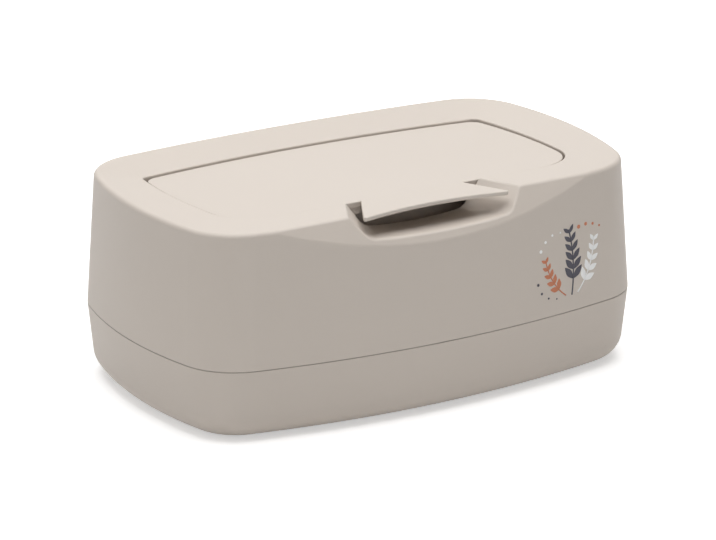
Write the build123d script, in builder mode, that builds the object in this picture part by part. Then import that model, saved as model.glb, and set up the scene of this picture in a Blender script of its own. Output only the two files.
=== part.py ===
from build123d import *
from collections import namedtuple
from math import sqrt
import os

os.makedirs("parts", exist_ok=True)

# A baby wipes box, in millimetres. The origin is on the ground under its middle,
# +X runs along its length and -Y is the front, where the finger tab is.

# Heights
foot_proud = 0.8           # the feet stand this far out of the tray
seam_z = 34.3              # where cover and tray meet
deck_z = 73.0              # floor of the well, deep enough for the lid's rear edge to swing into
top_z = 95.7               # outer edge of the rim

# Shells
wall = 2.2
rim_flat = 3.0             # level band before the rim slopes inward
rim_radius = 2.0           # of the rim's outer edge and of the soft line under the front facet
well_radius = 0.6          # of the rim's inner edge
mouth_z = 93.7             # this edge at the box's middle, a little above the lid
mouth_rise = 0.041         # it climbs towards the front
tray_edge_radius = 12.0
seam_bevel = 0.3           # the two bevels make the thin dark line round the box

# Front facet, seen from the side: from the rim's front edge down to the crease
facet_top_y = -64.2
crease_y = -73.2
crease_z = 80.5

# Tongue on the tray that the cover slips over
tongue_top = 38.8
tongue_foot = 28.8
tongue_inset = 1.45
tongue_wall = 1.75
tongue_play = 0.25
flange_z = 39.8            # underside of the cover's flange, on the seam seal
flange_depth = 2.0
flange_reach = 3.6

# Lid
lid_rise = 0.0455          # the lid climbs towards the front
lid_top_z = 93.0           # at the middle
panel = 2.4
lid_edge = 0.6
skirt_inset = 0.6
skirt_wall = 1.6
skirt_depth = 3.3           # and none under the tab
skirt_end_y = 30.0         # no skirt behind this line, where the lid swings into the well

# Finger tab, in plan
tab_root = 26.5
tab_front = 38.3
tab_reach = -67.2
tab_hollow = 5.0           # the front edge curves back by this much
tab_hold = 1.5             # runs back into the panel
tab_thick = 2.0
tab_corner = 1.1
tab_edge = 0.6

# Finger pocket: one profile just inside the well, which it opens into, and one in front of the box
pocket_back = 45.0
pocket_spout = 80.0
pocket_head = 100.8
pocket_bow = 1.6           # its floor is lower in the middle
pocket_lip = 1.5
lip_half_x = 50.0          # the lip lies within this

# Opening for the wipes and the collar round it
opening_half_x = 75.0
opening_half_y = 30.0
opening_y = 1.0
opening_corner = 22.0
collar_wall = 2.0
seal_overlap = 0.8
seal_thick = 2.4

# Hinge
hinge_y = 37.0
hinge_drop = 2.8           # axis below the lid's upper face
pin_radius = 0.8
pin_play = 0.05
lug_radius = 1.8
lug_relief = 0.25          # between lug and lid, all round the axis
lug_play = 0.3
lug_start = 24.0
lug_end = 34.0
knuckle_wall = 4.7
knuckle_radius = 2.1
pin_reach = 3.5            # into each knuckle
arm_foot_back = -3.2       # the lug's arm stands in front of the axis, clear of the swinging edge
arm_foot_front = -6.5

# Plate on the stack of wipes
plate_half_x = 97.0
plate_half_y = 53.0
plate_corner = 20.0
plate_thick = 2.4
plate_rim = 5.0
plate_rim_wall = 1.8
slot_half_x = 32.0
slot_half_y = 9.0
slot_collar = 4.0
weight_half_x = 9.0
weight_half_y = 34.0
weight_thick = 4.0
weight_x = 64.0
tub_wall = 1.6
tub_play = 0.2
weight_bevel = 0.5

# Feet
foot_radius = 7.0
foot_thick = 2.2
foot_x = 78.0
foot_y = 42.0
foot_play = 0.15
foot_boss = 1.4
foot_boss_radius = 9.2
foot_bevel = 0.4

Shape = namedtuple("Shape", "half_x rear front rear_bow front_bow side_radius rear_corner front_corner")
seam_shape = Shape(120.0, 76.2, 76.4, 10.9, 13.8, 189.0, 29.1, 29.1)
floor_shape = Shape(116.6, 72.8, 73.0, 10.9, 13.8, 189.0, 25.8, 25.8)
top_shape = Shape(116.6, 70.2, 72.1, 6.0, 13.0, 177.0, 29.6, 28.0)
rim_shape = Shape(116.6, 70.2, 64.2, 6.0, 0.0, 177.0, 29.6, 27.8)
lid_shape = Shape(91.1, 48.2, 45.2, 6.9, 0.0, 256.0, 7.4, 21.6)
well_shape = Shape(92.0, 48.9, 45.9, 6.9, 0.0, 285.0, 3.6, 22.3)

half_span = 140.0          # wider than the box, for cuts right through
lid_plane = Plane((0, 0, lid_top_z), x_dir=(1, 0, 0), z_dir=(0, lid_rise, 1))
tab_plane = Plane.XY.offset(lid_top_z + lid_rise * lid_shape.front)
well_plane = Plane((0, 0, mouth_z), x_dir=(1, 0, 0), z_dir=(0, mouth_rise, 1))
hinge_z = lid_top_z - lid_rise * hinge_y - hinge_drop
lug_width = lug_end - lug_start
pin_length = lug_width + 2 * (lug_play + pin_reach)
floor_z = foot_proud + wall
plate_z = floor_z + foot_boss


def outline(shape, inset=0.0):
    """Return a sketch with four bowed sides, drawn in by the inset. A front bow of 0 is straight."""
    half_x = shape.half_x - inset
    rear = shape.rear - inset
    front = shape.front - inset
    rear_y = rear - shape.rear_bow
    front_y = shape.front_bow - front
    rear_x = half_x - shape.side_radius + sqrt(shape.side_radius**2 - rear_y**2)
    front_x = half_x - shape.side_radius + sqrt(shape.side_radius**2 - front_y**2)
    with BuildSketch() as drawn:
        with BuildLine():
            ThreePointArc((-rear_x, rear_y), (0, rear), (rear_x, rear_y))
            ThreePointArc((rear_x, rear_y), (half_x, 0), (front_x, front_y))
            if shape.front_bow:
                ThreePointArc((front_x, front_y), (0, -front), (-front_x, front_y))
            else:
                Line((front_x, front_y), (-front_x, front_y))
            ThreePointArc((-front_x, front_y), (-half_x, 0), (-rear_x, rear_y))
        make_face()
        fillet(drawn.vertices().group_by(Axis.Y)[-1], shape.rear_corner - inset)
        fillet(drawn.vertices().group_by(Axis.Y)[0], shape.front_corner - inset)
    return drawn.sketch


def facet_cut(depth):
    """Return the wedge in front of the facet, moved into the box by the depth."""
    run_y = facet_top_y - crease_y
    run_z = top_z - crease_z
    length = sqrt(run_y**2 + run_z**2)
    shift_y = depth * run_z / length
    shift_z = -depth * run_y / length
    upper = (facet_top_y + 2 * run_y + shift_y, top_z + 2 * run_z + shift_z)
    lower = (crease_y - 2 * run_y + shift_y, crease_z - 2 * run_z + shift_z)
    with BuildPart() as wedge:
        with BuildSketch(Plane.YZ):
            with BuildLine():
                Polyline(upper, lower, (lower[0], upper[1]), close=True)
            make_face()
        extrude(amount=half_span, both=True)
    return wedge.part


def facet_distance(shape):
    """Return how far a shape's middle lies from the facet's plane."""
    run_y = facet_top_y - crease_y
    run_z = top_z - crease_z
    middle = shape.center(CenterOf.GEOMETRY)
    across = (middle.Y - facet_top_y) * run_z - (middle.Z - top_z) * run_y
    return abs(across) / sqrt(run_y**2 + run_z**2)


def well_distance(edge):
    """Return how far an edge's middle lies from the plane of the well's mouth."""
    return abs(well_plane.to_local_coords(edge.center()).Z)


def pocket(grow):
    """Return the finger pocket's space, larger by the growth on all sides but the top."""
    profiles = (
        (pocket_back - grow, 38.5, 25.0, 82.0, 9.0),
        (pocket_spout, 58.5, 41.2, 85.2, 11.0),
    )
    with BuildPart() as space:
        for forward, half_top, half_floor, floor_z, corner in profiles:
            base = half_floor + grow
            head = half_top + grow
            low = floor_z - grow
            with BuildSketch(Plane.XZ.offset(forward)) as profile:
                with BuildLine():
                    ThreePointArc((-base, low + pocket_bow), (0, low), (base, low + pocket_bow))
                    Polyline((base, low + pocket_bow), (head, pocket_head), (-head, pocket_head))
                    Line((-head, pocket_head), (-base, low + pocket_bow))
                make_face()
                fillet(profile.vertices().group_by(Axis.Y)[0], corner + grow)
        loft(ruled=True)
    return space.part


def well(grow):
    """Return the space of the well below the rim's inner edge, larger by the growth at sides and floor."""
    with BuildPart() as space:
        with BuildSketch(well_plane):
            add(outline(well_shape, -grow))
        extrude(amount=2 * (deck_z - top_z))
        split(bisect_by=Plane.XY.offset(deck_z - grow), keep=Keep.TOP)
    return space.part


def ring_seat(inset):
    """Return a rounded rectangle about the opening, drawn in by the inset."""
    with BuildSketch() as seat:
        with Locations((0, opening_y)):
            RectangleRounded(
                2 * (opening_half_x - inset), 2 * (opening_half_y - inset), opening_corner - inset
            )
    return seat.sketch


# Tray: the lower shell, with a tongue round its mouth and a recess under each corner for a foot
with BuildPart() as tray_space:
    with BuildSketch(Plane.XY.offset(floor_z)):
        add(outline(floor_shape, wall))
    with BuildSketch(Plane.XY.offset(seam_z + 1)):
        add(outline(seam_shape, wall))
    loft(ruled=True)
    fillet(tray_space.faces().sort_by(Axis.Z)[0].edges(), tray_edge_radius - wall)

with BuildPart() as base_tray:
    with BuildSketch(Plane.XY.offset(foot_proud)):
        add(outline(floor_shape))
    with BuildSketch(Plane.XY.offset(seam_z - seam_bevel)):
        add(outline(seam_shape))
    with BuildSketch(Plane.XY.offset(seam_z)):
        add(outline(seam_shape, seam_bevel))
    loft(ruled=True)
    fillet(base_tray.faces().sort_by(Axis.Z)[0].edges(), tray_edge_radius)
    add(tray_space.part, mode=Mode.SUBTRACT)
    with BuildSketch(Plane.XY.offset(tongue_foot)):
        add(outline(seam_shape, tongue_inset))
        add(outline(seam_shape, tongue_inset + tongue_wall), mode=Mode.SUBTRACT)
    extrude(amount=tongue_top - tongue_foot)
    with BuildSketch(Plane.XY.offset(floor_z)):
        with GridLocations(2 * foot_x, 2 * foot_y, 2, 2):
            Circle(foot_boss_radius)
    extrude(amount=foot_boss)
    with BuildSketch(Plane.XY):
        with GridLocations(2 * foot_x, 2 * foot_y, 2, 2):
            Circle(foot_radius + foot_play)
    extrude(amount=foot_thick, mode=Mode.SUBTRACT)
base_tray.part.label = "base_tray"
export_step(base_tray.part, "parts/base_tray.step")

# Cover: the space inside it, the dished mouth with the well, then the shell with collar, pocket and hinge lugs
with BuildPart() as cover_space:
    with BuildSketch(Plane.XY.offset(seam_z - 1)):
        add(outline(seam_shape, wall))
    with BuildSketch(Plane.XY.offset(top_z)):
        add(outline(top_shape, wall))
    loft(ruled=True)
    split(bisect_by=well_plane.offset(-wall), keep=Keep.BOTTOM)
    add(facet_cut(wall), mode=Mode.SUBTRACT)
    add(well(wall), mode=Mode.SUBTRACT)
    add(pocket(wall), mode=Mode.SUBTRACT)

with BuildPart() as mouth_space:
    with BuildSketch(well_plane):
        add(outline(well_shape))
    with BuildSketch(Plane.XY.offset(top_z)):
        add(outline(rim_shape, rim_flat))
    loft(ruled=True)
    add(well(0))
    fillet([edge for edge in mouth_space.edges() if well_distance(edge) < 0.01], well_radius)

with BuildPart() as cover_shell:
    with BuildSketch(Plane.XY.offset(seam_z)):
        add(outline(seam_shape, seam_bevel))
    with BuildSketch(Plane.XY.offset(seam_z + seam_bevel)):
        add(outline(seam_shape))
    with BuildSketch(Plane.XY.offset(top_z)):
        add(outline(top_shape))
    loft(ruled=True)
    add(facet_cut(0), mode=Mode.SUBTRACT)
    rim_face = cover_shell.faces().sort_by(Axis.Z)[-1]
    facet_face = cover_shell.faces().sort_by(facet_distance)[0]
    fillet(rim_face.edges() + facet_face.edges().filter_by_position(Axis.Z, 0, top_z - 0.1), rim_radius)
    add(pocket(0), mode=Mode.SUBTRACT)
    lip = cover_shell.edges().filter_by_position(Axis.Y, crease_y + 1, facet_top_y + 1)
    lip = lip.filter_by_position(Axis.X, -lip_half_x, lip_half_x)
    fillet([edge for edge in lip if facet_distance(edge) < pocket_lip / 2], pocket_lip)
    add(mouth_space.part, mode=Mode.SUBTRACT)
    with BuildSketch(lid_plane.offset(-panel - seal_thick)):
        add(ring_seat(-collar_wall))
    extrude(amount=-(lid_top_z - deck_z))
    for start in (lug_start, -lug_end):
        with BuildSketch(Plane.YZ.offset(start)):
            with BuildLine():
                Polyline(
                    (hinge_y, hinge_z),
                    (hinge_y - lug_radius * 0.7, hinge_z - lug_radius * 0.7),
                    (hinge_y + arm_foot_back, deck_z - 1),
                    (hinge_y + arm_foot_front, deck_z - 1),
                    (hinge_y - lug_radius, hinge_z),
                    close=True,
                )
            make_face()
            with Locations((hinge_y, hinge_z)):
                Circle(lug_radius)
                Circle(pin_radius + pin_play, mode=Mode.SUBTRACT)
        extrude(amount=lug_width)
    add(cover_space.part, mode=Mode.SUBTRACT)
    with BuildSketch(Plane.XY.offset(seam_z)):
        add(ring_seat(0))
    extrude(amount=top_z - seam_z, mode=Mode.SUBTRACT)
    with BuildSketch(Plane.XY.offset(seam_z)):
        add(outline(seam_shape, tongue_inset - tongue_play))
    extrude(amount=flange_z - seam_z, mode=Mode.SUBTRACT)
    with BuildSketch(Plane.XY.offset(flange_z)):
        add(outline(seam_shape, tongue_inset))
        add(outline(seam_shape, flange_reach), mode=Mode.SUBTRACT)
    extrude(amount=flange_depth)
cover_shell.part.label = "cover_shell"
export_step(cover_shell.part, "parts/cover_shell.step")

# Lid: finger tab, then the panel with its skirt and the knuckles that hold the hinge pins
with BuildPart() as finger_tab:
    with BuildSketch(tab_plane) as tab_plan:
        with BuildLine():
            Polyline(
                (-tab_front, tab_reach),
                (-tab_root, -lid_shape.front),
                (-tab_root, -lid_shape.front + tab_hold),
                (tab_root, -lid_shape.front + tab_hold),
                (tab_root, -lid_shape.front),
                (tab_front, tab_reach),
            )
            ThreePointArc((tab_front, tab_reach), (0, tab_reach + tab_hollow), (-tab_front, tab_reach))
        make_face()
        fillet(tab_plan.vertices().group_by(Axis.Y)[0], tab_corner)
    extrude(amount=-tab_thick)
    tab_faces = finger_tab.faces().filter_by(tab_plane)
    tab_edges = [edge for face in tab_faces for edge in face.edges() if edge.center().Y < -lid_shape.front]
    fillet(tab_edges, tab_edge)

with BuildPart() as flip_lid:
    with BuildSketch(lid_plane):
        add(outline(lid_shape))
    extrude(amount=-panel)
    lid_face = flip_lid.faces().filter_by(lid_plane).sort_by(Axis((0, 0, 0), lid_plane.z_dir))[-1]
    fillet(lid_face.edges(), lid_edge)
    with BuildSketch(lid_plane.offset(-panel / 2)):
        add(outline(lid_shape, skirt_inset))
        add(outline(lid_shape, skirt_inset + skirt_wall), mode=Mode.SUBTRACT)
        with Locations((0, skirt_end_y + lid_shape.rear)):
            Rectangle(2 * half_span, 2 * lid_shape.rear, mode=Mode.SUBTRACT)
        with Locations((0, -lid_shape.front)):
            Rectangle(2 * tab_root, lid_shape.front, mode=Mode.SUBTRACT)
    extrude(amount=-skirt_depth - panel / 2)
    add(finger_tab.part)
    for start in (lug_start, -lug_end):
        for knuckle_start in (start - lug_play - knuckle_wall, start + lug_width + lug_play):
            with BuildSketch(Plane.YZ.offset(knuckle_start)):
                with Locations((hinge_y, hinge_z)):
                    Circle(knuckle_radius)
                    Rectangle(2 * knuckle_radius, hinge_drop - lid_edge, align=(Align.CENTER, Align.MIN))
            extrude(amount=knuckle_wall)
        with BuildSketch(Plane.YZ.offset(start - lug_play)):
            with Locations((hinge_y, hinge_z)):
                Circle(lug_radius + lug_relief)
        extrude(amount=lug_width + 2 * lug_play, mode=Mode.SUBTRACT)
        with BuildSketch(Plane.YZ.offset(start - lug_play - pin_reach)):
            with Locations((hinge_y, hinge_z)):
                Circle(pin_radius)
        extrude(amount=pin_length, mode=Mode.SUBTRACT)
flip_lid.part.label = "flip_lid"
export_step(flip_lid.part, "parts/flip_lid.step")

# Hinge pins, pressed into the lid and turning in the cover's lugs
for side, start in (("right", lug_start), ("left", -lug_end)):
    with BuildPart() as hinge_pin:
        with BuildSketch(Plane.YZ.offset(start - lug_play - pin_reach)):
            with Locations((hinge_y, hinge_z)):
                Circle(pin_radius)
        extrude(amount=pin_length)
    hinge_pin.part.label = f"hinge_pin_{side}"
    export_step(hinge_pin.part, f"parts/hinge_pin_{side}.step")

# Seals: one under the lid, on the collar, and one between tray and cover
with BuildPart() as lid_seal:
    with BuildSketch(lid_plane.offset(-panel - seal_thick)):
        add(ring_seat(-collar_wall - seal_overlap))
        add(ring_seat(seal_overlap), mode=Mode.SUBTRACT)
    extrude(amount=seal_thick)
lid_seal.part.label = "lid_seal"
export_step(lid_seal.part, "parts/lid_seal.step")

with BuildPart() as seam_seal:
    with BuildSketch(Plane.XY.offset(tongue_top)):
        add(outline(seam_shape, tongue_inset + 0.2))
        add(outline(seam_shape, tongue_inset + tongue_wall - 0.2), mode=Mode.SUBTRACT)
    extrude(amount=flange_z - tongue_top)
seam_seal.part.label = "seam_seal"
export_step(seam_seal.part, "parts/seam_seal.step")

# Plate that lies on the stack of wipes, with a slot to pull them through and a tub for each weight
with BuildPart() as press_plate:
    with BuildSketch(Plane.XY.offset(plate_z)):
        RectangleRounded(2 * plate_half_x, 2 * plate_half_y, plate_corner)
    extrude(amount=plate_thick)
    with BuildSketch(Plane.XY.offset(plate_z + plate_thick)):
        RectangleRounded(2 * plate_half_x, 2 * plate_half_y, plate_corner)
        offset(amount=-plate_rim_wall, mode=Mode.SUBTRACT)
    extrude(amount=plate_rim)
    with BuildSketch(Plane.XY.offset(plate_z + plate_thick)):
        SlotOverall(2 * slot_half_x + 2 * plate_rim_wall, 2 * slot_half_y + 2 * plate_rim_wall)
        with Locations((-weight_x, 0), (weight_x, 0)):
            Rectangle(2 * (weight_half_x + tub_play + tub_wall), 2 * (weight_half_y + tub_play + tub_wall))
            Rectangle(
                2 * (weight_half_x + tub_play), 2 * (weight_half_y + tub_play), mode=Mode.SUBTRACT
            )
    extrude(amount=slot_collar)
    with BuildSketch(Plane.XY.offset(plate_z)):
        SlotOverall(2 * slot_half_x, 2 * slot_half_y)
    extrude(amount=plate_thick + plate_rim, mode=Mode.SUBTRACT)
press_plate.part.label = "press_plate"
export_step(press_plate.part, "parts/press_plate.step")

for side, middle_x in (("right", weight_x), ("left", -weight_x)):
    with BuildPart() as press_weight:
        with BuildSketch(Plane.XY.offset(plate_z + plate_thick)):
            with Locations((middle_x, 0)):
                Rectangle(2 * weight_half_x, 2 * weight_half_y)
        extrude(amount=weight_thick)
        chamfer(press_weight.faces().sort_by(Axis.Z)[-1].edges(), weight_bevel)
    press_weight.part.label = f"press_weight_{side}"
    export_step(press_weight.part, f"parts/press_weight_{side}.step")

# Feet
for side, side_x in (("right", foot_x), ("left", -foot_x)):
    for end, end_y in (("rear", foot_y), ("front", -foot_y)):
        with BuildPart() as foot:
            with BuildSketch(Plane.XY):
                with Locations((side_x, end_y)):
                    Circle(foot_radius)
            extrude(amount=foot_thick)
            chamfer(foot.faces().sort_by(Axis.Z)[0].edges(), foot_bevel)
        foot.part.label = f"foot_{end}_{side}"
        export_step(foot.part, f"parts/foot_{end}_{side}.step")
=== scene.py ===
import bmesh
import bpy
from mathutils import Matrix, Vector
from mathutils.bvhtree import BVHTree


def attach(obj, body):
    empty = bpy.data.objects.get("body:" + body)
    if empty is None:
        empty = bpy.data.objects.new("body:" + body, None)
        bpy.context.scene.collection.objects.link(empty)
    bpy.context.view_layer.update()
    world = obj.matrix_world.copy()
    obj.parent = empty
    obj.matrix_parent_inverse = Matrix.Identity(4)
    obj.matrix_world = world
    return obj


# Baby wipes box: finishes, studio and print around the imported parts, in metres
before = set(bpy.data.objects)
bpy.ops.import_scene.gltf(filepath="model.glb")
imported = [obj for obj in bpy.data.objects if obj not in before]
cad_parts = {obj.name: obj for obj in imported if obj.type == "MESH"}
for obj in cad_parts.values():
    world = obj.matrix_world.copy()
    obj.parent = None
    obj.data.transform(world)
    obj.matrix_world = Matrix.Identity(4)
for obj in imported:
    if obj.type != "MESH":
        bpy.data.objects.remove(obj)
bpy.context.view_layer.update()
print("wipes box: frame loaded with", len(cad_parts), "parts")

bpy.context.scene.view_settings.view_transform = "Standard"
mm = 0.001
white = (1.0, 1.0, 1.0, 1.0)


def tint(red, green, blue):
    # screen colours from 0 to 255 become the linear colours that shaders use
    def toLinear(value):
        part = value / 255
        return part / 12.92 if part <= 0.04045 else ((part + 0.055) / 1.055) ** 2.4
    return (toLinear(red), toLinear(green), toLinear(blue), 1.0)


def shaded(colour, scale, lift=0.0):
    return tuple(min(part * scale + lift, 1.0) for part in colour[:3]) + (1.0,)


class Flow:  # a node socket that can be used in Python sums
    def __init__(self, tree, socket=None):
        self.tree = tree
        self.socket = socket

    def node(self, kind, settings, inputs, output=0):
        # a list of flows links them all to one socket
        made = self.tree.nodes.new(kind)
        for name, value in settings.items():
            setattr(made, name, value)
        for key, value in inputs.items():
            for item in value if isinstance(value, list) else [value]:
                if isinstance(item, Flow):
                    self.tree.links.new(item.socket, made.inputs[key])
                else:
                    made.inputs[key].default_value = item
        return Flow(self.tree, made.outputs[output]) if made.outputs else made

    def output(self, key):
        # another output of the same node
        return Flow(self.tree, self.socket.node.outputs[key])

    def sum(self, operation, first, second=0.0):
        return self.node("ShaderNodeMath", {"operation": operation}, {0: first, 1: second})

    def __add__(self, other):
        return self.sum("ADD", self, other)

    def __sub__(self, other):
        return self.sum("SUBTRACT", self, other)

    def __rsub__(self, other):
        return self.sum("SUBTRACT", other, self)

    def __mul__(self, other):
        return self.sum("MULTIPLY", self, other)

    def __truediv__(self, other):
        return self.sum("DIVIDE", self, other)

    def __pow__(self, other):
        return self.sum("POWER", self, other)

    __radd__ = __add__
    __rmul__ = __mul__


# Finishes. Each noise is given as its scale per metre and its detail.
noiseMean = 0.5  # taken off a noise, so that it varies both ways about nothing


def startFinish(name):
    finish = bpy.data.materials.new(name)
    finish.use_nodes = True
    tree = finish.node_tree
    place = Flow(tree).node("ShaderNodeTexCoord", {}, {}, "Object")
    return finish, place, tree.nodes["Principled BSDF"]


def plug(flow, shader, name):
    flow.tree.links.new(flow.socket, shader.inputs[name])


def noise(place, scale, detail):
    return place.node("ShaderNodeTexNoise", {}, {"Vector": place, "Scale": scale, "Detail": detail})


def blend(amount, first, second):
    return amount.node("ShaderNodeMix", {"data_type": "RGBA"}, {0: amount, 6: first, 7: second}, 2)


def bump(height, strength, depth, inputs=None):
    values = {"Height": height, "Strength": strength, "Distance": depth}
    return height.node("ShaderNodeBump", {}, values | (inputs or {}))


mouldedLook = {
    "clouds": (14.0, 4.0),    # slow drift of colour
    "clouding": 0.030,
    "dark": 0.90,             # the two tones that it drifts between
    "light": 1.10,
    "grain": (2600.0, 2.0),   # fine spark-eroded grain of the mould
    "grainStrength": 0.35,
    "grainDepth": 0.000012,
    "waves": (55.0, 1.0),     # slight unevenness of a moulded wall
    "waveStrength": 0.25,
    "waveDepth": 0.00006,
    "edge": 0.0002,           # softness of the edges
    "edgeSamples": 6,
    "seamHeight": 0.0343,     # where the shells meet
    "seamReach": 0.00035,     # the painted shade of the gap fades out over this distance
    "seamShade": 0.62,        # how much of it shows
    "seamDark": 0.25,         # its tone, against the wall's
    "roughness": 0.52,
    "roughSpread": 0.10,
    "specular": 0.42,
}


def paintSeamShade(place, tinted, colour, look):
    # paints the shade of the narrow gap between the shells into the colour, a dark band at the seam's
    # height
    height = place.node("ShaderNodeSeparateXYZ", {}, {0: place}, 2)
    away = place.sum("ABSOLUTE", height - look["seamHeight"])
    near = place.sum("MAXIMUM", 1.0 - away / look["seamReach"], 0.0) * look["seamShade"]
    return blend(near, tinted, shaded(colour, look["seamDark"]))


def mouldedPlastic(name, colour, roughness=mouldedLook["roughness"], paintedSeamShade=False):
    look = mouldedLook
    finish, place, shader = startFinish(name)
    clouds = noise(place, *look["clouds"])
    grain = noise(place, *look["grain"])
    waves = noise(place, *look["waves"])
    drift = (clouds - noiseMean) * look["clouding"] + (grain - noiseMean) * (look["clouding"] / 2) + 0.5
    tinted = blend(drift, shaded(colour, look["dark"]), shaded(colour, look["light"]))
    # painted shade along the gap between the shells
    if paintedSeamShade:
        tinted = paintSeamShade(place, tinted, colour, look)
    plug(tinted, shader, "Base Color")
    spread = look["roughSpread"]
    plug((clouds - noiseMean) * spread + (grain - noiseMean) * spread + roughness, shader, "Roughness")
    softened = place.node("ShaderNodeBevel", {"samples": look["edgeSamples"]}, {"Radius": look["edge"]})
    wavy = bump(waves, look["waveStrength"], look["waveDepth"], {"Normal": softened})
    plug(bump(grain, look["grainStrength"], look["grainDepth"], {"Normal": wavy}), shader, "Normal")
    shader.inputs["Specular IOR Level"].default_value = look["specular"]
    return finish


rubberLook = {
    "dust": (420.0, 5.0),
    "dusting": 0.6,           # how much of it shows
    "pale": 1.25,             # the dusty tone, against the clean one
    "paleLift": 0.01,
    "roughSpread": 0.2,
    "bump": (0.3, 0.00003),   # strength and depth
}


def softRubber(name, colour, roughness):
    look = rubberLook
    finish, place, shader = startFinish(name)
    dust = noise(place, *look["dust"])
    pale = shaded(colour, look["pale"], look["paleLift"])
    plug(blend(dust * look["dusting"], colour, pale), shader, "Base Color")
    plug(dust * look["roughSpread"] + (roughness - look["roughSpread"] / 2), shader, "Roughness")
    plug(bump(dust, *look["bump"]), shader, "Normal")
    return finish


steelLook = {
    "stretch": (3000.0, 90.0, 3000.0),  # the brush strokes run from front to rear
    "strokes": (1.0, 3.0),    # laid on the stretched places
    "dark": 0.82,
    "roughness": 0.28,
    "roughSpread": 0.16,
    "bump": (0.2, 0.00001),
}


def brushedSteel(name, colour):
    look = steelLook
    finish, place, shader = startFinish(name)
    along = place.node("ShaderNodeMapping", {}, {"Vector": place, "Scale": look["stretch"]})
    strokes = noise(along, *look["strokes"])
    plug(blend(strokes, shaded(colour, look["dark"]), colour), shader, "Base Color")
    plug(strokes * look["roughSpread"] + look["roughness"], shader, "Roughness")
    plug(bump(strokes, *look["bump"]), shader, "Normal")
    shader.inputs["Metallic"].default_value = 1.0
    return finish


inkLook = {
    "speckle": (3200.0, 2.0),
    "patches": (260.0, 3.0),
    "speckleShare": 0.5,      # how much of each goes into the wear, and how much comes off it
    "patchShare": 0.4,
    "wornLess": 0.15,
    "worn": 0.86,             # the worn tone, against the fresh one
    "wornLift": 0.03,
    "roughness": 0.42,
    "roughSpread": 0.12,
    "bump": (0.2, 0.00001),
}


def printInk(name, colour):
    look = inkLook
    finish, place, shader = startFinish(name)
    speckle = noise(place, *look["speckle"])
    patches = noise(place, *look["patches"])
    wear = speckle * look["speckleShare"] + patches * look["patchShare"] - look["wornLess"]
    worn = shaded(colour, look["worn"], look["wornLift"])
    plug(blend(wear, colour, worn), shader, "Base Color")
    plug(speckle * look["roughSpread"] + look["roughness"], shader, "Roughness")
    plug(bump(speckle, *look["bump"]), shader, "Normal")
    return finish


boxColour = tint(209, 199, 189)
# tray and cover carry a painted shade line where the shells meet
trayPlastic = mouldedPlastic("trayPlastic", boxColour, paintedSeamShade=True)
coverPlastic = mouldedPlastic("coverPlastic", boxColour, paintedSeamShade=True)
lidPlastic = mouldedPlastic("lidPlastic", boxColour)
platePlastic = mouldedPlastic("platePlastic", tint(232, 229, 222), roughness=0.45)
sealRubber = softRubber("sealRubber", tint(214, 210, 202), roughness=0.55)
footRubber = softRubber("footRubber", tint(112, 106, 101), roughness=0.75)
barSteel = brushedSteel("barSteel", tint(176, 177, 180))
slateInk = printInk("slateInk", tint(56, 53, 66))
chalkInk = printInk("chalkInk", tint(254, 254, 253))
clayInk = printInk("clayInk", tint(200, 122, 84))

finishOfPart = {
    "base_tray": trayPlastic,
    "cover_shell": coverPlastic,
    "flip_lid": lidPlastic,
    "press_plate": platePlastic,
    "lid_seal": sealRubber,
    "seam_seal": sealRubber,
}
for partName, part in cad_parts.items():
    finish = finishOfPart.get(partName)
    if partName.startswith("foot_"):
        finish = footRubber
    if partName.startswith(("press_weight_", "hinge_pin_")):
        finish = barSteel
    for slot in part.material_slots:
        slot.material = finish
print("wipes box: finishes on", len(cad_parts), "parts")


# Camera, where the photograph was taken from
photoCamera = {
    "standAt": (-0.9848, -1.6390, 0.7019),
    "lookAt": (-0.0008, 0.0, 0.0451),
    "lens": 223.7,
    "sensor": 36.0,
    "clipStart": 0.05,
}


def aim(thing, standAt, lookAt):
    back = Vector(standAt) - Vector(lookAt)
    thing.location = standAt
    thing.rotation_euler = back.to_track_quat("Z", "Y").to_euler()
    bpy.context.collection.objects.link(thing)


def placeCamera(values):
    lens = bpy.data.cameras.new("photoCamera")
    lens.lens = values["lens"]
    lens.sensor_width = values["sensor"]
    lens.clip_start = values["clipStart"]
    camera = bpy.data.objects.new("photoCamera", lens)
    aim(camera, values["standAt"], values["lookAt"])
    bpy.context.scene.camera = camera


placeCamera(photoCamera)


# Studio: soft boxes, a pale room and a floor that keeps the shadow
studio = {
    "boxes": (
        # name, place, size, watts
        ("topBox", (0.0, 0.0, 1.3), 1.4, 18.8),
        ("rearBox", (0.8, 2.0, 1.8), 1.6, 7.0),
        ("leftBox", (-1.4, 0.1, 0.7), 1.0, 2.4),
        ("frontBox", (-0.3, -1.6, 0.3), 0.8, 2.5),
    ),
    "boxesLookAt": (0.0, 0.0, 0.05),
    "room": 0.08,             # brightness of the room's soft light
    "floorTone": tint(243, 243, 243),
    "floorRoughness": 0.9,
    "floorSize": 6.0,
    "glow": 0.46,             # what the floor adds to look white, seen but not lighting anything
    "glowNear": 0.30,         # farther than this from the floor's middle the glow grows, up to 1
    "glowRise": 1.2,          # by so much a metre
}


def softBox(lookAt, name, standAt, size, watts):
    lamp = bpy.data.lights.new(name, "AREA")
    lamp.shape = "SQUARE"
    lamp.size = size
    lamp.energy = watts
    holder = bpy.data.objects.new(name, lamp)
    aim(holder, standAt, lookAt)


def seenDirectly(flow):
    # rays that look straight at the room, or by way of gloss or glass
    path = flow.node("ShaderNodeLightPath", {}, {}, "Is Camera Ray")
    total = path + path.output("Is Glossy Ray") + path.output("Is Transmission Ray")
    return flow.sum("MINIMUM", total, 1.0)


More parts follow.
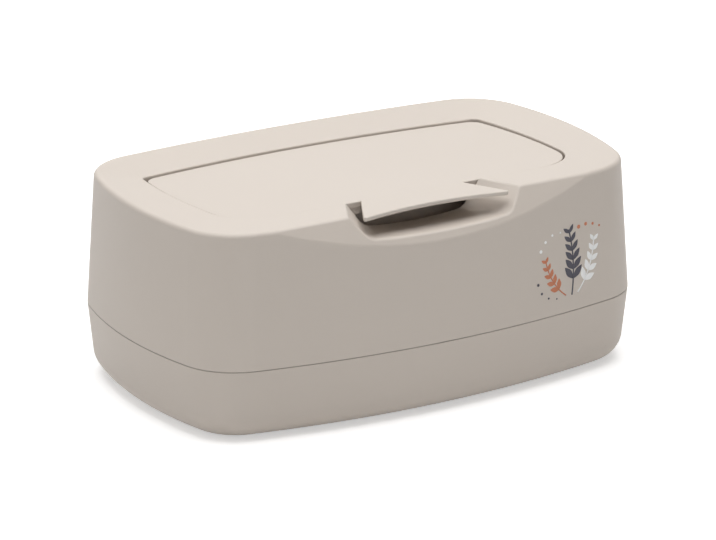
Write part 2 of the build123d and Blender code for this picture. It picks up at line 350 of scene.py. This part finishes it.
def paleRoom(brightness):
    world = bpy.data.worlds.new("paleRoom")
    world.use_nodes = True
    bpy.context.scene.world = world
    world.node_tree.nodes.clear()
    seen = seenDirectly(Flow(world.node_tree))
    tone = blend(seen, (brightness, brightness, brightness, 1.0), white)
    light = seen.node("ShaderNodeBackground", {}, {"Color": tone, "Strength": 1.0})
    seen.node("ShaderNodeOutputWorld", {}, {"Surface": light})


def layFloor(values):
    half = values["floorSize"] / 2
    corners = [(-half, -half, 0), (half, -half, 0), (half, half, 0), (-half, half, 0)]
    floorMesh = bpy.data.meshes.new("floor")
    floorMesh.from_pydata(corners, [], [(0, 1, 2, 3)])
    floor = bpy.data.objects.new("floor", floorMesh)
    bpy.context.collection.objects.link(floor)
    paper, place, shader = startFinish("floorPaper")
    shader.inputs["Base Color"].default_value = values["floorTone"]
    shader.inputs["Roughness"].default_value = values["floorRoughness"]
    shader.inputs["Specular IOR Level"].default_value = 0.0
    shader.inputs["Emission Strength"].default_value = 1.0
    away = place.node("ShaderNodeVectorMath", {"operation": "LENGTH"}, {0: place}, 1)
    rise = place.sum("MAXIMUM", away - values["glowNear"], 0.0) * values["glowRise"]
    level = place.sum("MINIMUM", rise + values["glow"], 1.0)
    plug(seenDirectly(place) * level, shader, "Emission Color")
    floorMesh.materials.append(paper)


for boxValues in studio["boxes"]:
    softBox(studio["boxesLookAt"], *boxValues)
paleRoom(studio["room"])
layFloor(studio)
print("wipes box: camera and studio ready")


# Printed sprigs and dots on the cover's front, at the right
printLook = {
    "centreX": 68.5 * mm,
    "centreZ": 57.3 * mm,
    "proud": 0.10 * mm,       # thickness of the ink film, made thick enough to see edge-on
    "sunk": 0.02 * mm,        # how far its back lies in the wall
    "step": 2.5 * mm,         # longest edge, so that it follows the curve
    "weld": 0.0001 * mm,      # corners nearer than this become one
    "castFrom": 0.2,          # the drawing is cast straight back onto the wall from this far in front
    "lineSteps": 24,
}
sprigLook = {
    "leafSides": 22,
    "leafTaper": 0.4,         # below 1 a leaf is full and closes late to its points
    "leafFullness": 0.62,
    "lean": 0.72,             # between leaf and stem, in radians
    "shrink": 0.42,           # a leaf at the tip is smaller by this share
    "firstLeaf": 0.24,        # where the leaves begin and end, as shares of the stem
    "lastLeaf": 0.94,
}
dotLook = {
    "sides": 18,
    "shrink": 0.45,
}
sprigs = (
    # name, ink, foot, bend, tip, leaf length, leaf width, pairs of leaves, stem width, all in mm
    ("printSprigTall", slateInk, (0.5, -15.5), (3.5, 0.0), (-0.5, 15.0), 7.6, 2.7, 6, 0.75),
    ("printSprigChalk", chalkInk, (4.0, -15.0), (13.5, -6.0), (14.5, 8.5), 6.4, 2.5, 5, 0.65),
    ("printSprigClay", clayInk, (-3.0, -15.0), (-12.0, -8.5), (-14.5, 3.5), 5.2, 2.1, 5, 0.6),
)
dotLines = (
    # name, ink, first, bend, last, how many, width, all in mm
    ("printDotsClay", clayInk, (5.5, 15.0), (11.5, 16.5), (18.0, 13.0), 4, 1.9),
    ("printDotsChalk", chalkInk, (-17.0, 8.0), (-13.0, 15.5), (-5.5, 14.5), 4, 1.6),
    ("printDotsSlate", slateInk, (-19.0, -7.0), (-17.5, -14.5), (-8.5, -15.5), 4, 1.4),
)


def newGroup(name, sizes):
    # a Geometry Nodes group with one named input for each size
    group = bpy.data.node_groups.new(name, "GeometryNodeTree")
    group.interface.new_socket("Geometry", in_out="OUTPUT", socket_type="NodeSocketGeometry")
    for label, kind in sizes:
        group.interface.new_socket(label, in_out="INPUT", socket_type="NodeSocket" + kind)
    start = Flow(group).node("NodeGroupInput", {}, {})
    return group, start, {label: start.output(label) for label, kind in sizes}


def closeGroup(shape, ink):
    real = shape.node("GeometryNodeRealizeInstances", {}, {"Geometry": shape})
    inked = shape.node("GeometryNodeSetMaterial", {}, {"Geometry": real, "Material": ink})
    shape.node("NodeGroupOutput", {}, {0: inked})


def bentLine(flow, start, middle, end):
    return flow.node(
        "GeometryNodeCurveQuadraticBezier", {},
        {"Resolution": printLook["lineSteps"], "Start": start, "Middle": middle, "End": end},
    )


def roundPlate(flow, sides, radius):
    values = {"Vertices": sides, "Radius": radius}
    return flow.node("GeometryNodeMeshCircle", {"fill_type": "NGON"}, values)


def shrinking(flow, share):
    # full size at a line's start, smaller by this share at its end
    return 1.0 - flow.node("GeometryNodeSplineParameter", {}, {}) * share


def leafShape(flow, length, width, look):
    # a round plate drawn out to a pointed leaf whose foot is at the origin
    disc = roundPlate(flow, look["leafSides"], 1.0)
    place = flow.node("GeometryNodeInputPosition", {}, {})
    along = flow.node("ShaderNodeSeparateXYZ", {}, {0: place})
    taper = (1.0 - flow.sum("ABSOLUTE", along)) ** look["leafTaper"]
    longWay = (along + 1.0) * length * 0.5
    wideWay = along.output(1) * width * look["leafFullness"] * taper
    moved = flow.node("ShaderNodeCombineXYZ", {}, {0: longWay, 1: wideWay})
    return flow.node("GeometryNodeSetPosition", {}, {"Geometry": disc, "Position": moved})


def stemRibbon(flow, stem, width):
    # a line as wide as the stem, drawn along it to a flat ribbon
    line = flow.node(
        "GeometryNodeCurvePrimitiveLine", {}, {"Start": (-0.5, 0.0, 0.0), "End": (0.5, 0.0, 0.0)}
    )
    wide = flow.node("ShaderNodeCombineXYZ", {}, {0: width, 1: width, 2: width})
    ribbon = flow.node("GeometryNodeTransform", {}, {"Geometry": line, "Scale": wide})
    return flow.node("GeometryNodeCurveToMesh", {}, {"Curve": stem, "Profile Curve": ribbon})


def sprigGroup(name, ink, look):
    # leaves in pairs along a bent stem, smaller towards its tip
    group, flow, sizes = newGroup(name, (
        ("Foot", "Vector"), ("Bend", "Vector"), ("Tip", "Vector"),
        ("Leaf length", "Float"), ("Leaf width", "Float"),
        ("Leaf rows", "Int"), ("Stem width", "Float"),
    ))
    stem = bentLine(flow, sizes["Foot"], sizes["Bend"], sizes["Tip"])
    leaf = leafShape(flow, sizes["Leaf length"], sizes["Leaf width"], look)
    tangent = flow.node("GeometryNodeInputTangent", {}, {})
    run = flow.node("ShaderNodeSeparateXYZ", {}, {0: tangent})
    heading = flow.sum("ARCTAN2", run.output(1), run)
    size = shrinking(flow, look["shrink"])
    scale = flow.node("ShaderNodeCombineXYZ", {}, {0: size, 1: size, 2: 1.0})
    leafy = flow.node(
        "GeometryNodeTrimCurve", {"mode": "FACTOR"},
        {"Curve": stem, 2: look["firstLeaf"], 3: look["lastLeaf"]},
    )
    rows = flow.node("GeometryNodeResampleCurve", {}, {"Curve": leafy, "Count": sizes["Leaf rows"]})
    parts = [stemRibbon(flow, stem, sizes["Stem width"])]
    for side in (1, -1):
        spin = flow.node("ShaderNodeCombineXYZ", {}, {2: heading + side * look["lean"]})
        parts.append(flow.node(
            "GeometryNodeInstanceOnPoints", {},
            {"Points": rows, "Instance": leaf, "Rotation": spin, "Scale": scale},
        ))
    closeGroup(flow.node("GeometryNodeJoinGeometry", {}, {0: parts[::-1]}), ink)
    return group


def dotGroup(name, ink, look):
    # dots along a bent line, each a little smaller than the one before
    group, flow, sizes = newGroup(name, (
        ("First", "Vector"), ("Bend", "Vector"), ("Last", "Vector"),
        ("Dots", "Int"), ("Dot width", "Float"),
    ))
    line = bentLine(flow, sizes["First"], sizes["Bend"], sizes["Last"])
    places = flow.node("GeometryNodeResampleCurve", {}, {"Curve": line, "Count": sizes["Dots"]})
    disc = roundPlate(flow, look["sides"], sizes["Dot width"] * 0.5)
    spread = flow.node(
        "GeometryNodeInstanceOnPoints", {},
        {"Points": places, "Instance": disc, "Scale": shrinking(flow, look["shrink"])},
    )
    closeGroup(spread, ink)
    return group


def runGroup(name, group, values):
    # evaluate the group on an empty mesh and keep the result as a plain mesh
    holder = bpy.data.objects.new(name, bpy.data.meshes.new(name))
    bpy.context.collection.objects.link(holder)
    modifier = holder.modifiers.new("shape", "NODES")
    modifier.node_group = group
    for item in group.interface.items_tree:
        if item.item_type == "SOCKET" and item.in_out == "INPUT":
            modifier[item.identifier] = values[item.name]
    settled = holder.evaluated_get(bpy.context.evaluated_depsgraph_get())
    flat = bpy.data.meshes.new_from_object(settled)
    holder.modifiers.remove(modifier)
    holder.data = flat
    flat.name = name
    return holder


def onSheet(place):
    return [value * mm for value in place] + [0.0]


def drawSprig(name, ink, foot, bend, tip, leafLength, leafWidth, leafRows, stemWidth):
    return runGroup(name, sprigGroup(name, ink, sprigLook), {
        "Foot": onSheet(foot), "Bend": onSheet(bend), "Tip": onSheet(tip),
        "Leaf length": leafLength * mm, "Leaf width": leafWidth * mm,
        "Leaf rows": leafRows, "Stem width": stemWidth * mm,
    })


def drawDots(name, ink, first, bend, last, howMany, width):
    return runGroup(name, dotGroup(name, ink, dotLook), {
        "First": onSheet(first), "Bend": onSheet(bend), "Last": onSheet(last),
        "Dots": howMany, "Dot width": width * mm,
    })


def coverInWorld():
    # the cover's faces in scene coordinates, for casting the print onto them
    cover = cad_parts["cover_shell"]
    corners = [cover.matrix_world @ corner.co for corner in cover.data.vertices]
    return BVHTree.FromPolygons(corners, [tuple(face.vertices) for face in cover.data.polygons])


def castPrint(piece, wall, look):
    # lay a flat drawing onto the front wall and give it the thickness of an ink film
    drawing = bmesh.new()
    drawing.from_mesh(piece.data)
    bmesh.ops.remove_doubles(drawing, verts=drawing.verts, dist=look["weld"])
    bmesh.ops.triangulate(drawing, faces=drawing.faces)
    longEdges = [edge for edge in drawing.edges if edge.calc_length() > look["step"]]
    bmesh.ops.subdivide_edges(drawing, edges=longEdges, cuts=1, use_grid_fill=True)
    toWall = Vector((0.0, 1.0, 0.0))
    for corner in drawing.verts:
        start = Vector((look["centreX"] + corner.co.x, -look["castFrom"], look["centreZ"] + corner.co.y))
        spot, facing, index, distance = wall.ray_cast(start, toWall)
        corner.co = spot + facing * look["proud"]
    back = bmesh.ops.extrude_face_region(drawing, geom=drawing.faces[:])
    for corner in [item for item in back["geom"] if isinstance(item, bmesh.types.BMVert)]:
        spot, facing, index, distance = wall.find_nearest(corner.co)
        corner.co = spot - facing * look["sunk"]
    bmesh.ops.recalc_face_normals(drawing, faces=drawing.faces)
    drawing.to_mesh(piece.data)
    drawing.free()


coverWall = coverInWorld()
drawings = [drawSprig(*values) for values in sprigs] + [drawDots(*values) for values in dotLines]
for piece in drawings:
    castPrint(piece, coverWall, printLook)
    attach(piece, "cover")
print("wipes box: print cast onto the cover")
